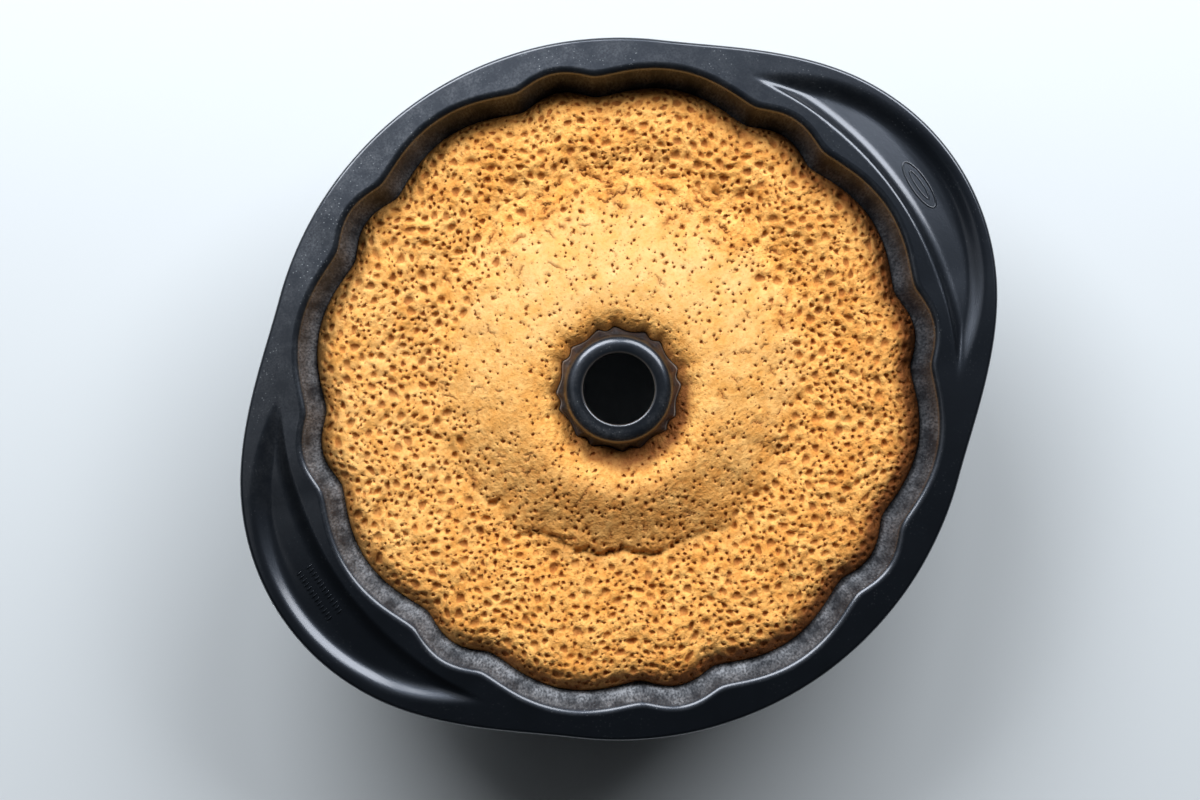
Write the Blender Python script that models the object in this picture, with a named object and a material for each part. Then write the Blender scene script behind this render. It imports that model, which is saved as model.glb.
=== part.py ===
"""A ring cake in the fluted tube pan that it was baked in.

The pan is one sheet of pressed steel. From the outside in, it has a turned-down lip, a flange that
widens into two ears with a thumb recess each, a fluted wall, a rounded fluted bottom and a fluted
tube with a hole in its top. The cake is one solid: it fills the trough and is domed on top.

Frame: the origin is on the table under the tube's axis, +Z is up and +X points along one ear.
"""

import math

import bpy
import numpy as np

# Pan sizes, in metres.
PAN_HEIGHT = 0.0857          # table to the top of the flange's inner edge
MOUTH_RADIUS = 0.1256        # wall at the rim plane, in a wide lobe
MOUTH_FLUTE = 0.0042         # how far a ridge stands in from a lobe there
RIM_RADIUS = 0.1366          # outer edge of the lip, between the ears
EAR_REACH = 0.1587           # tube's axis to the tip of an ear
EAR_ARC = 0.093              # radius of the ear's outline
EAR_BLEND = 0.015            # how softly the ear's outline meets the round rim
SHEET = 0.0008               # thickness of the steel
WALL_DRAFT = math.radians(11)
TUBE_DRAFT = math.radians(9)
FLANGE_FALL = math.radians(5)    # the flange and the ears slope down and out
EDGE_ROUND = 0.003           # rounding between the wall and the flange
LIP_ROUND = 0.0016           # rounding between the flange and the lip
LIP_DROP = 0.0024            # how far the lip hangs below the flange

# The thumb recess: a crescent between a circle about the tube and a smaller circle in the ear.
RECESS_INNER = 0.1311        # radius of its inner side
RECESS_ARC = 0.080           # radius of its outer side
RECESS_CENTRE = 0.076        # centre of that outer side, along the ear
RECESS_DEPTH = 0.0022
RECESS_INNER_SLOPE = 0.0054  # width of its sloping inner side
RECESS_OUTER_SLOPE = 0.0075  # width of its sloping outer side
RECESS_CREST = 0.12          # share of the inner side that is its rounded top
FLOOR_FALL = 0.0012          # how much further the recess's floor falls outwards
FLOOR_WIDTH = 0.014

# The tube.
TUBE_RADIUS = 0.0208         # lobes of the tube, at the rim plane
TUBE_SHOULDER = 0.0045       # rounding at the tube's top
TUBE_HOLE = 0.0139           # radius of the hole
FOOT_PRESS = 0.0021          # how much of each lobe's round bottom is pressed flat

# Fluting: each of the equal repeats is a wide lobe and a narrow one, with a ridge on either side.
REPEATS = 8
WIDE_SHARE = 2 / 3
NARROW_HEIGHT = 0.8          # of a wide lobe's
RIDGE_SOFTNESS = 0.24
SHOULDER_FLUTE = 0.0075      # depth of the fluting on the round bottom
TUBE_FLUTE = 0.0017          # depth of the fluting where the tube leaves the cake

# The cake.
GAP = 0.0003                 # between the cake and the steel
WALL_LINE = 0.0635           # height of the cake's edge at the wall
TUBE_LINE = 0.074            # height of the cake's edge at the tube
CREST = (0.14, 0.0806)       # share of the way from tube to wall, and height
VALLEY = (0.50, 0.0712)
SHOULDER = (0.80, 0.0742)
EDGE_POWER = 3.2             # how tightly the top rolls over at the wall
COLLAR_POWER = 2.2           # how tightly it dips at the tube
CREST_SOFTNESS = 0.25        # how softly the dome's straight flank starts at its crest
TOP_SHARES = (0.04, 0.14, 0.30, 0.40, 0.50, 0.80, 0.91, 0.97)    # rings of the top, tube to wall

SEGMENTS = 72
BOTTOM_SHARES = (0, 0.143, 0.284, 0.424, 0.564, 0.706, 0.852, 1)    # rings of the round bottom
FLANGE_SHARES = (0, 0.10, 0.32, 0.68, 0.90, 1)    # rings of the flange, lip to wall
STEEL_COLOUR = (0.018, 0.021, 0.027, 1)
CRUST_COLOUR = (0.68, 0.37, 0.12, 1)


def trough_circle():
    """Radius and distance from the axis of the round bottom that is tangent to the wall and to the tube."""
    depth = PAN_HEIGHT - SHEET + FOOT_PRESS
    # On each side: radius * (1 - sin draft) = reach * cos draft - depth * sin draft.
    wall_slope = math.cos(WALL_DRAFT) / (1 - math.sin(WALL_DRAFT))
    tube_slope = math.cos(TUBE_DRAFT) / (1 - math.sin(TUBE_DRAFT))
    wall_loss = depth * math.sin(WALL_DRAFT) / (1 - math.sin(WALL_DRAFT))
    tube_loss = depth * math.sin(TUBE_DRAFT) / (1 - math.sin(TUBE_DRAFT))
    centre = (MOUTH_RADIUS * wall_slope + TUBE_RADIUS * tube_slope - wall_loss + tube_loss) / (
        wall_slope + tube_slope
    )
    return (MOUTH_RADIUS - centre) * wall_slope - wall_loss, centre


BOTTOM_RADIUS, BOTTOM_CENTRE = trough_circle()
BOTTOM_LEVEL = SHEET - FOOT_PRESS + BOTTOM_RADIUS     # height of the round bottom's centre
ANGLES = np.arange(SEGMENTS) * 2 * math.pi / SEGMENTS


def flute(theta):
    """0 on a ridge, 1 on the crest of a wide lobe: arches that meet at softened ridges."""
    repeat = 2 * math.pi / REPEATS
    wide = repeat * WIDE_SHARE
    turn = (theta + wide / 2) % repeat
    in_wide = turn < wide
    across = np.where(in_wide, turn / wide, (turn - wide) / (repeat - wide))
    arch = np.sqrt(np.sin(math.pi * across) ** 2 + RIDGE_SOFTNESS**2) - RIDGE_SOFTNESS
    arch /= math.sqrt(1 + RIDGE_SOFTNESS**2) - RIDGE_SOFTNESS
    return np.where(in_wide, 1, NARROW_HEIGHT) * arch


def smoothstep(x):
    x = np.clip(x, 0, 1)
    return x * x * (3 - 2 * x)


def outline(theta):
    """Distance from the axis to the lip: the round rim with an ear on each side, along X."""
    centre = EAR_REACH - EAR_ARC
    across = np.abs(np.sin(theta)) * centre
    ear = np.abs(np.cos(theta)) * centre + np.sqrt(np.maximum(EAR_ARC**2 - across**2, 0))
    share = np.clip(0.5 + 0.5 * (ear - RIM_RADIUS) / EAR_BLEND, 0, 1)
    return RIM_RADIUS + (ear - RIM_RADIUS) * share + EAR_BLEND * share * (1 - share)


def recess(radius, theta):
    """How far the thumb recess lies below the ear at this place."""
    x, y = np.abs(radius * np.cos(theta)), radius * np.sin(theta)
    from_inner = radius - RECESS_INNER
    from_outer = RECESS_ARC - np.hypot(x - RECESS_CENTRE, y)
    down = np.clip(from_inner / RECESS_INNER_SLOPE, 0, 1)
    inner_side = np.where(
        down < RECESS_CREST, down**2 / RECESS_CREST, 1 - (1 - down) ** 2 / (1 - RECESS_CREST)
    )
    floor = RECESS_DEPTH * inner_side + FLOOR_FALL * np.clip(from_inner / FLOOR_WIDTH, 0, 1)
    return floor * smoothstep(from_outer / RECESS_OUTER_SLOPE)


def ring(radius, height):
    """One closed ring of points about the axis."""
    radius, height = np.broadcast_to(radius, SEGMENTS), np.broadcast_to(height, SEGMENTS)
    return np.stack([radius * np.cos(ANGLES), radius * np.sin(ANGLES), height], axis=1)


def flange_rings():
    """The lip, the flange and the rounding down to the wall, from the outside in."""
    rim = outline(ANGLES)
    round_centre = (
        MOUTH_RADIUS
        - MOUTH_FLUTE * (1 - flute(ANGLES))
        + EDGE_ROUND * (1 / math.cos(WALL_DRAFT) - math.tan(WALL_DRAFT))
    )
    inner = round_centre + EDGE_ROUND * math.sin(FLANGE_FALL)
    top = PAN_HEIGHT - EDGE_ROUND * (1 - math.cos(FLANGE_FALL))

    def level(radius):
        return top - (radius - inner) * math.tan(FLANGE_FALL) - recess(radius, ANGLES)

    outer = rim - LIP_ROUND
    half = LIP_ROUND * (1 - math.sqrt(0.5))
    rings = [
        ring(rim, level(outer) - LIP_DROP),
        ring(rim - half, level(outer) - half),
    ]
    for share in FLANGE_SHARES:
        radius = outer + (inner - outer) * share
        rings.append(ring(radius, level(radius)))
    for turn in (math.radians(50), WALL_DRAFT):
        rings.append(
            ring(
                round_centre - EDGE_ROUND * math.cos(turn),
                PAN_HEIGHT - EDGE_ROUND * (1 - math.sin(turn)),
            )
        )
    return rings


def fluted_ring(radius, height, towards, depth):
    """A ring of the trough. Its ridges stand in from the lobes by depth, in the direction towards."""
    rise = (1 - flute(ANGLES)) * depth
    level = np.maximum(height + rise * towards[1], SHEET)
    return ring(radius + rise * towards[0], level)


def wall_ring(height):
    """A ring of the wall at this height."""
    drop = PAN_HEIGHT - height
    share = drop / (PAN_HEIGHT - BOTTOM_LEVEL)
    depth = MOUTH_FLUTE + (SHOULDER_FLUTE - MOUTH_FLUTE) * smoothstep(share) ** 3
    return fluted_ring(MOUTH_RADIUS - drop * math.tan(WALL_DRAFT), height, (-1, 0), depth)


def bottom_ring(turn):
    """A ring of the round bottom, at this turn down about its centre from straight out."""
    out, down = math.cos(turn), math.sin(turn)
    radius = BOTTOM_CENTRE + BOTTOM_RADIUS * out
    height = BOTTOM_LEVEL - BOTTOM_RADIUS * down
    return fluted_ring(radius, height, (-out, down), SHOULDER_FLUTE)


def tube_ring(height):
    """A ring of the tube's fluted side at this height."""
    drop = PAN_HEIGHT - height
    near_top = TUBE_FLUTE * smoothstep((drop - TUBE_SHOULDER) / (PAN_HEIGHT - TUBE_LINE - TUBE_SHOULDER))
    below = smoothstep((TUBE_LINE - height) / (TUBE_LINE - BOTTOM_LEVEL))
    depth = near_top + (SHOULDER_FLUTE - TUBE_FLUTE) * below
    return fluted_ring(TUBE_RADIUS + drop * math.tan(TUBE_DRAFT), height, (1, 0), depth)


def tube_top_rings():
    """The plain rounded top of the tube, in to the edge of its hole."""
    centre = TUBE_RADIUS + TUBE_SHOULDER * (math.tan(TUBE_DRAFT) - 1 / math.cos(TUBE_DRAFT))
    rings = []
    for turn in (math.radians(50), math.radians(90)):
        radius = centre + TUBE_SHOULDER * math.cos(turn)
        rings.append(ring(radius, PAN_HEIGHT - TUBE_SHOULDER * (1 - math.sin(turn))))
    return rings + [ring(TUBE_HOLE, PAN_HEIGHT - SHEET / 2)]


def trough_rings():
    """The part of the pan that the cake touches, from its edge at the wall to its edge at the tube."""
    first, last = WALL_DRAFT, math.pi - TUBE_DRAFT
    turns = [first + (last - first) * share for share in BOTTOM_SHARES]
    return (
        [wall_ring(WALL_LINE), wall_ring((WALL_LINE + BOTTOM_LEVEL) / 2)]
        + [bottom_ring(turn) for turn in turns]
        + [tube_ring(TUBE_LINE)]
    )


def normals(rings):
    """Unit normals of a strip of rings, on the side that faces up and into the trough."""
    grid = np.array(rings)
    around = np.roll(grid, -1, axis=1) - np.roll(grid, 1, axis=1)
    across = np.gradient(grid, axis=0)
    cross = np.cross(around, across)
    return cross / np.linalg.norm(cross, axis=2, keepdims=True)


def closed_solid(name, rings, material, top_first):
    """Joins rings, the last one back to the first, into one closed solid of triangles.

    top_first says whether the first rings lie on the upper side of the solid, running inwards.
    """
    vertices = np.concatenate(rings)
    count = len(rings)
    faces = []
    for i in range(count):
        for j in range(SEGMENTS):
            here, there = i * SEGMENTS, (i + 1) % count * SEGMENTS
            k = (j + 1) % SEGMENTS
            faces.append((here + k, there + k, there + j))
            faces.append((here + k, there + j, here + j))
    mesh = bpy.data.meshes.new(name)
    mesh.from_pydata(vertices.tolist(), [], faces)
    if not top_first:
        mesh.flip_normals()
    mesh.materials.append(material)
    mesh.validate()
    mesh.shade_smooth()
    mesh.set_sharp_from_angle(angle=math.radians(40))
    part = bpy.data.objects.new(name, mesh)
    bpy.context.scene.collection.objects.link(part)
    return part


def pan_surface():
    """The upper side of the whole sheet, from the lip to the hole."""
    shoulder_start = tube_ring(PAN_HEIGHT - TUBE_SHOULDER)
    return flange_rings() + trough_rings() + [shoulder_start] + tube_top_rings()


def make_pan(material):
    upper = np.array(pan_surface())
    under = upper - normals(upper) * SHEET
    pressed_flat = upper[:, :, 2] <= SHEET
    under[:, :, 2] = np.where(pressed_flat, 0, np.maximum(under[:, :, 2], 0))
    return closed_solid("pan", list(upper) + list(under[::-1]), material, top_first=True)


def cake_level(share):
    """Height of the cake's top at this share of the way from the tube to the wall."""
    if share < CREST[0]:
        fall = 1 - share / CREST[0]
        return CREST[1] - (CREST[1] - TUBE_LINE) * fall**COLLAR_POWER
    if share < VALLEY[0]:
        along = (share - CREST[0]) / (VALLEY[0] - CREST[0])
        fall = (1 + CREST_SOFTNESS) * along**2 / (along + CREST_SOFTNESS)
        return CREST[1] + (VALLEY[1] - CREST[1]) * fall
    if share < SHOULDER[0]:
        along = (share - VALLEY[0]) / (SHOULDER[0] - VALLEY[0])
        return VALLEY[1] + (SHOULDER[1] - VALLEY[1]) * float(smoothstep(along))
    along = (share - SHOULDER[0]) / (1 - SHOULDER[0])
    return SHOULDER[1] - (SHOULDER[1] - WALL_LINE) * along**EDGE_POWER


def make_cake(material):
    surface = np.array(pan_surface())
    first = len(flange_rings())
    inset = (surface + normals(surface) * GAP)[first : first + len(trough_rings())]
    at_wall, at_tube = inset[0], inset[-1]
    top = []
    for share in TOP_SHARES:
        points = at_tube + (at_wall - at_tube) * share
        points[:, 2] = cake_level(share)
        top.append(points)
    return closed_solid("cake", list(inset) + top, material, top_first=False)


def plain_material(name, colour, roughness, metallic):
    material = bpy.data.materials.new(name)
    material.use_nodes = True
    shader = material.node_tree.nodes["Principled BSDF"]
    shader.inputs["Base Color"].default_value = colour
    shader.inputs["Roughness"].default_value = roughness
    shader.inputs["Metallic"].default_value = metallic
    material.diffuse_color = colour
    return material


def main():
    for old in list(bpy.data.objects):
        bpy.data.objects.remove(old)
    make_pan(plain_material("nonstick_steel", STEEL_COLOUR, 0.4, 0.0))
    make_cake(plain_material("cake_crust", CRUST_COLOUR, 0.8, 0.0))


main()
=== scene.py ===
# %% [markdown]
# # A ring cake, still in its fluted pan
#
# The real object is two things. One is a pan, pressed from a single sheet of steel and coated
# black: a flange with two ear handles, a fluted wall, a rounded bottom and a tube up the middle.
# The other is the sponge cake that was baked in it. Both are rings about one upright axis, so both
# are made here from formulas in an angle and a distance from that axis. The measured model comes
# first. It is never changed: finer pieces take its place, in the same spot and at the same size.

# %% Load the measured model
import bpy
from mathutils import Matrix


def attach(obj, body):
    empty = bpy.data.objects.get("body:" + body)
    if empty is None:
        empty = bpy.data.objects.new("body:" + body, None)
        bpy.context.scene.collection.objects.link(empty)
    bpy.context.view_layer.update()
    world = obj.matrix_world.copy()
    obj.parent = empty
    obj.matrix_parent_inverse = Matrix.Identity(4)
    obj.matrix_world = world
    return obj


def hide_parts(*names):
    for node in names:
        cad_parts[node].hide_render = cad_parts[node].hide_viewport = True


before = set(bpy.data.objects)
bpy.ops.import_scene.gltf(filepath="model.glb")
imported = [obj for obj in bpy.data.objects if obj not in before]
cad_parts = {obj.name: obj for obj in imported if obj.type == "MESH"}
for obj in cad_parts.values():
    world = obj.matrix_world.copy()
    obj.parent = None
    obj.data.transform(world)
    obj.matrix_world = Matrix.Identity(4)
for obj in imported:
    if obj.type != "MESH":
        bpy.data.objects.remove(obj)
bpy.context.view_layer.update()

# %% Tools
import math

import bpy
import numpy as np
from mathutils import Vector, kdtree, noise
from mathutils.geometry import delaunay_2d_cdt

MM = 0.001
chance = np.random.default_rng(11)
print("Blender", bpy.app.version_string)

# %% [markdown]
# ## Small helpers
#
# Colours are written as sRGB hex codes, as a paint chart has them, and Blender's sockets want
# linear light, so one function turns the one into the other. Another adds a shader node, with its
# settings and whatever feeds it, in one call. A third turns points and faces into an object that
# rides with the model.


# %% Helpers
def linear(code):
    """A colour such as "#E2A861" as the linear RGBA that a socket takes."""
    channels = [int(code[i : i + 2], 16) / 255 for i in (1, 3, 5)]
    return (*[c / 12.92 if c <= 0.04045 else ((c + 0.055) / 1.055) ** 2.4 for c in channels], 1.0)


def add(tree, kind, inputs=None, **settings):
    """Adds a node. inputs gives a value, or another node's output, for a socket's name or number."""
    made = tree.nodes.new(kind)
    for name, value in settings.items():
        setattr(made, name, value)
    for name, value in (inputs or {}).items():
        socket = made.inputs[name]
        if isinstance(value, bpy.types.NodeSocket):
            tree.links.new(value, socket)
        else:
            socket.default_value = value
    return made


def start_material(name):
    """A new material, with its node tree and its one shader."""
    material = bpy.data.materials.new(name)
    material.use_nodes = True
    return material, material.node_tree, material.node_tree.nodes["Principled BSDF"]


def make_piece(name, points, faces, material, values=None):
    """A smooth-shaded mesh object that rides with the model. values are numbers for each point."""
    mesh = bpy.data.meshes.new(name)
    mesh.from_pydata(np.asarray(points).tolist(), [], np.asarray(faces).tolist())
    mesh.shade_smooth()
    for label, numbers in (values or {}).items():
        layer = mesh.attributes.new(label, "FLOAT", "POINT")
        layer.data.foreach_set("value", np.asarray(numbers, dtype=np.float32))
    mesh.materials.append(material)
    piece = bpy.data.objects.new(name, mesh)
    bpy.context.scene.collection.objects.link(piece)
    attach(piece, "root")
    mesh.calc_loop_triangles()
    print(name, "has", len(mesh.loop_triangles), "triangles")
    return piece


def smoothstep(x):
    """0 below 0, 1 above 1, and an even S between."""
    x = np.clip(x, 0, 1)
    return x * x * (3 - 2 * x)


def near(theta, centre, width):
    """1 in this direction, falling to 0 a width away from it. All three are in radians."""
    away = np.abs((theta - centre + math.pi) % (2 * math.pi) - math.pi)
    return 1 - smoothstep(away / width)


def wobble(x, y, size, seed, octaves=2):
    """Smooth random values, about -1 to 1, with features of that size, at these points."""
    points = np.stack([x / size, y / size, np.full_like(x, seed * 7.3)], axis=1).tolist()
    return np.array([noise.fractal(Vector(p), 0.8, 2.1, octaves) for p in points])


# %% [markdown]
# ## The pan's sizes
#
# One handle of the real pan is marked with its size: 24.8 cm across the mouth and 8.57 cm deep.
# These numbers describe the sheet's upper side. Each repeat of the fluting is a wide lobe and a
# narrow one, with a ridge between them that stands in towards the cake.

# %% Sizes of the pan and of the cake, and the four sides
# The window is to the north of the pan. South is the side nearest the cook.
EAST, NORTH, WEST, SOUTH = (math.radians(326 + 90 * i) % (2 * math.pi) for i in range(4))

PAN_HEIGHT = 85.7 * MM
MOUTH_RADIUS = 125.6 * MM
MOUTH_FLUTE = 4.2 * MM
RIM_RADIUS = 136.6 * MM
EAR_REACH = 158.7 * MM
EAR_ARC = 93 * MM
EAR_BLEND = 15 * MM
SHEET = 0.8 * MM
WALL_DRAFT = math.radians(11)
TUBE_DRAFT = math.radians(9)
FLANGE_FALL = math.radians(5)
EDGE_ROUND = 3 * MM
LIP_ROUND = 1.6 * MM
LIP_DROP = 2.4 * MM
RECESS_INNER = 131.1 * MM
RECESS_ARC = 80 * MM
RECESS_CENTRE = 76 * MM
RECESS_DEPTH = 2.2 * MM
RECESS_INNER_SLOPE = 5.4 * MM
RECESS_OUTER_SLOPE = 7.5 * MM
RECESS_CREST = 0.12
FLOOR_FALL = 1.2 * MM
FLOOR_WIDTH = 14 * MM
TUBE_RADIUS = 20.8 * MM
TUBE_SHOULDER = 4.5 * MM
TUBE_HOLE = 13.9 * MM
FOOT_PRESS = 2.1 * MM
REPEATS = 8
WIDE_SHARE = 2 / 3
NARROW_HEIGHT = 0.8
RIDGE_SOFTNESS = 0.24
SHOULDER_FLUTE = 7.5 * MM
TUBE_FLUTE = 1.7 * MM

GAP = 0.3 * MM
WALL_LINE = 63.5 * MM
TUBE_LINE = 74 * MM
CREST = (0.14, 80.6 * MM)
VALLEY = (0.50, 71.2 * MM)
SHOULDER = (0.80, 74.2 * MM)


def trough_circle():
    """Radius and centre of the round bottom that meets the sloping wall and tube without a kink."""
    depth = PAN_HEIGHT - SHEET + FOOT_PRESS
    wall_slope = math.cos(WALL_DRAFT) / (1 - math.sin(WALL_DRAFT))
    tube_slope = math.cos(TUBE_DRAFT) / (1 - math.sin(TUBE_DRAFT))
    wall_loss = depth * math.sin(WALL_DRAFT) / (1 - math.sin(WALL_DRAFT))
    tube_loss = depth * math.sin(TUBE_DRAFT) / (1 - math.sin(TUBE_DRAFT))
    centre = (MOUTH_RADIUS * wall_slope + TUBE_RADIUS * tube_slope - wall_loss + tube_loss) / (
        wall_slope + tube_slope
    )
    return (MOUTH_RADIUS - centre) * wall_slope - wall_loss, centre


BOTTOM_RADIUS, BOTTOM_CENTRE = trough_circle()
BOTTOM_LEVEL = SHEET - FOOT_PRESS + BOTTOM_RADIUS
print("Round bottom: radius", round(BOTTOM_RADIUS / MM, 1), "mm, at", round(BOTTOM_CENTRE / MM, 1), "mm")

# %% [markdown]
# ## The sheet's shape, ring by ring
#
# A lathe could make everything but the fluting, the ears and the recesses. So the sheet is a stack
# of closed rings, from the turned-down lip in to the hole in the tube, and each ring may bulge in
# and out as it goes round. A ring is only a radius and a height for each angle. Ridges are put in
# by pulling a ring towards the inside of the trough wherever the flute function is below 1.


# %% Functions for the shape
def flute(theta, softness=RIDGE_SOFTNESS):
    """0 on a ridge and 1 on the crest of a wide lobe: arches that meet at softened ridges."""
    repeat = 2 * math.pi / REPEATS
    wide = repeat * WIDE_SHARE
    turn = (theta + wide / 2) % repeat
    in_wide = turn < wide
    across = np.where(in_wide, turn / wide, (turn - wide) / (repeat - wide))
    arch = np.sqrt(np.sin(math.pi * across) ** 2 + softness**2) - softness
    arch /= math.sqrt(1 + softness**2) - softness
    return np.where(in_wide, 1, NARROW_HEIGHT) * arch


def outline(theta):
    """Distance from the axis to the lip: the round rim with an ear on each side, along X."""
    centre = EAR_REACH - EAR_ARC
    across = np.abs(np.sin(theta)) * centre
    ear = np.abs(np.cos(theta)) * centre + np.sqrt(np.maximum(EAR_ARC**2 - across**2, 0))
    share = np.clip(0.5 + 0.5 * (ear - RIM_RADIUS) / EAR_BLEND, 0, 1)
    return RIM_RADIUS + (ear - RIM_RADIUS) * share + EAR_BLEND * share * (1 - share)


def recess(radius, theta):
    """How far the thumb recess, a crescent pressed into each ear, lies below the ear here."""
    x, y = np.abs(radius * np.cos(theta)), radius * np.sin(theta)
    from_inner = radius - RECESS_INNER
    from_outer = RECESS_ARC - np.hypot(x - RECESS_CENTRE, y)
    down = np.clip(from_inner / RECESS_INNER_SLOPE, 0, 1)
    inner_side = np.where(
        down < RECESS_CREST, down**2 / RECESS_CREST, 1 - (1 - down) ** 2 / (1 - RECESS_CREST)
    )
    floor = RECESS_DEPTH * inner_side + FLOOR_FALL * np.clip(from_inner / FLOOR_WIDTH, 0, 1)
    return floor * smoothstep(from_outer / RECESS_OUTER_SLOPE)


def edge_centre(theta):
    """Distance from the axis to the centre of the rounding between the wall and the flange."""
    ridges = MOUTH_FLUTE * (1 - flute(theta))
    return MOUTH_RADIUS - ridges + EDGE_ROUND * (1 / math.cos(WALL_DRAFT) - math.tan(WALL_DRAFT))


def flange_level(radius, theta):
    """Height of the flange's upper side, which slopes down and out from the mouth."""
    inner = edge_centre(theta) + EDGE_ROUND * math.sin(FLANGE_FALL)
    top = PAN_HEIGHT - EDGE_ROUND * (1 - math.cos(FLANGE_FALL))
    return top - (radius - inner) * math.tan(FLANGE_FALL) - recess(radius, theta)


def ring(theta, radius, height):
    """One closed ring of points about the axis."""
    radius, height = np.broadcast_to(radius, theta.shape), np.broadcast_to(height, theta.shape)
    return np.stack([radius * np.cos(theta), radius * np.sin(theta), height], axis=1)


def fluted_ring(theta, radius, height, towards, depth):
    """A ring of the trough, whose ridges stand in from the lobes by depth, in that direction."""
    rise = (1 - flute(theta)) * depth
    return ring(theta, radius + rise * towards[0], np.maximum(height + rise * towards[1], SHEET))


def wall_ring(theta, height):
    """A ring of the wall at this height."""
    drop = PAN_HEIGHT - height
    share = drop / (PAN_HEIGHT - BOTTOM_LEVEL)
    depth = MOUTH_FLUTE + (SHOULDER_FLUTE - MOUTH_FLUTE) * smoothstep(share) ** 3
    return fluted_ring(theta, MOUTH_RADIUS - drop * math.tan(WALL_DRAFT), height, (-1, 0), depth)


def bottom_ring(theta, turn):
    """A ring of the round bottom. A turn of 0 is straight out from its centre, 90 degrees down."""
    out, down = math.cos(turn), math.sin(turn)
    radius, height = BOTTOM_CENTRE + BOTTOM_RADIUS * out, BOTTOM_LEVEL - BOTTOM_RADIUS * down
    return fluted_ring(theta, radius, height, (-out, down), SHOULDER_FLUTE)


def tube_ring(theta, height):
    """A ring of the tube's fluted side at this height."""
    drop = PAN_HEIGHT - height
    near_top = TUBE_FLUTE * smoothstep(
        (drop - TUBE_SHOULDER) / (PAN_HEIGHT - TUBE_LINE - TUBE_SHOULDER)
    )
    below = smoothstep((TUBE_LINE - height) / (TUBE_LINE - BOTTOM_LEVEL))
    depth = near_top + (SHOULDER_FLUTE - TUBE_FLUTE) * below
    return fluted_ring(theta, TUBE_RADIUS + drop * math.tan(TUBE_DRAFT), height, (1, 0), depth)


def trough_rings(theta, steps):
    """The part of the sheet that the cake touches, from its edge at the wall to that at the tube."""
    turns = np.linspace(WALL_DRAFT, math.pi - TUBE_DRAFT, steps)
    wall = [wall_ring(theta, h) for h in np.linspace(WALL_LINE, BOTTOM_LEVEL, 4)[:-1]]
    tube = [tube_ring(theta, h) for h in np.linspace(BOTTOM_LEVEL, TUBE_LINE, 5)[1:]]
    return wall + [bottom_ring(theta, turn) for turn in turns] + tube


def upper_normals(rings):
    """Unit normals of a strip of rings, on the side that faces up and into the trough."""
    grid = np.array(rings)
    around = np.roll(grid, -1, axis=1) - np.roll(grid, 1, axis=1)
    cross = np.cross(around, np.gradient(grid, axis=0))
    return cross / np.linalg.norm(cross, axis=2, keepdims=True)


# %% [markdown]
# ## The sheet of the pan
#
# The upper side needs rings close together where it bends: at the lip, across the thumb recess,
# over the rounded edge of the mouth and on the tube's shoulder. The under side is the same rings,
# moved one sheet's thickness along the normals, so the pan is as hollow underneath as a real
# pressing. Each point also keeps three numbers for the finish: how worn the coating is there, how
# much old grease film it has, and how much batter has baked on. The wear number also carries a
# painted glint on the tube's lowest ridges. The film number also carries painted light and painted
# sheen where the wall and the flange face the windows.

# %% Build the sheet
PAN_SEGMENTS = 432
LIP_TURNS = (20, 40, 60, 78)
FLANGE_RINGS = 34
EDGE_RINGS = 8
WALL_RINGS = 7
TUBE_RINGS = 7
LIP_FILM = 0.03
FLANGE_FILM = 0.14
TUBE_FILM = 0.3
SHOULDER_FILM = 0.08
WEAR_AND_GLINT_HEIGHT = 1.5 * MM
BATTER_HEIGHT = 6 * MM
around = np.arange(PAN_SEGMENTS) * 2 * math.pi / PAN_SEGMENTS


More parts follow.
